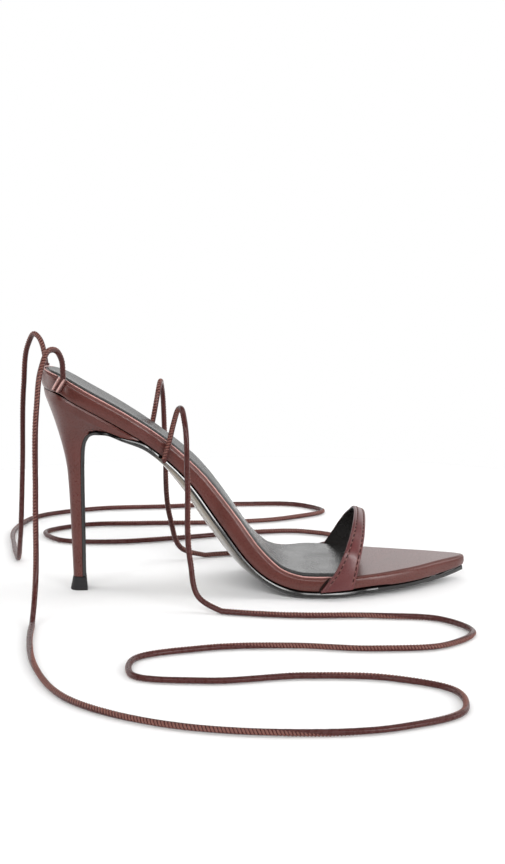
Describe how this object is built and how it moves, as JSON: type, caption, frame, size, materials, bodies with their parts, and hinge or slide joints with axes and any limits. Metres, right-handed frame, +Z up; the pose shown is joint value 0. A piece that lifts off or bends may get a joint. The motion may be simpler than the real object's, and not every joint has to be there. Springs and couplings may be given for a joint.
{
  "type": "open-toe high heel",
  "caption": "Left lace-up stiletto sandal with an open pointed toe, a narrow stitched toe strap and long thin leather ties that lie loose on the floor",
  "frame": {"origin": "on the floor, under the middle of the shoe's box, measured without the ties", "axes": "+X towards the toe, +Y towards the outer (lateral) side of this left shoe, +Z up"},
  "size_m": [0.2497, 0.4203, 0.1344],
  "materials": {
    "leather": "smooth burgundy-brown leather",
    "sock": "black satin sock leather",
    "sole": "polished black sole",
    "tip": "matte black top piece"
  },
  "bodies": {
    "root": {"footbed": "leather", "insole_sock": "sock", "outsole": "sole", "heel": "leather", "heel_tip": "tip", "toe_strap": "leather", "heel_tab_medial": "leather", "heel_tab_lateral": "leather", "tie_medial": "leather", "tie_lateral": "leather"}
  },
  "joints": []
}
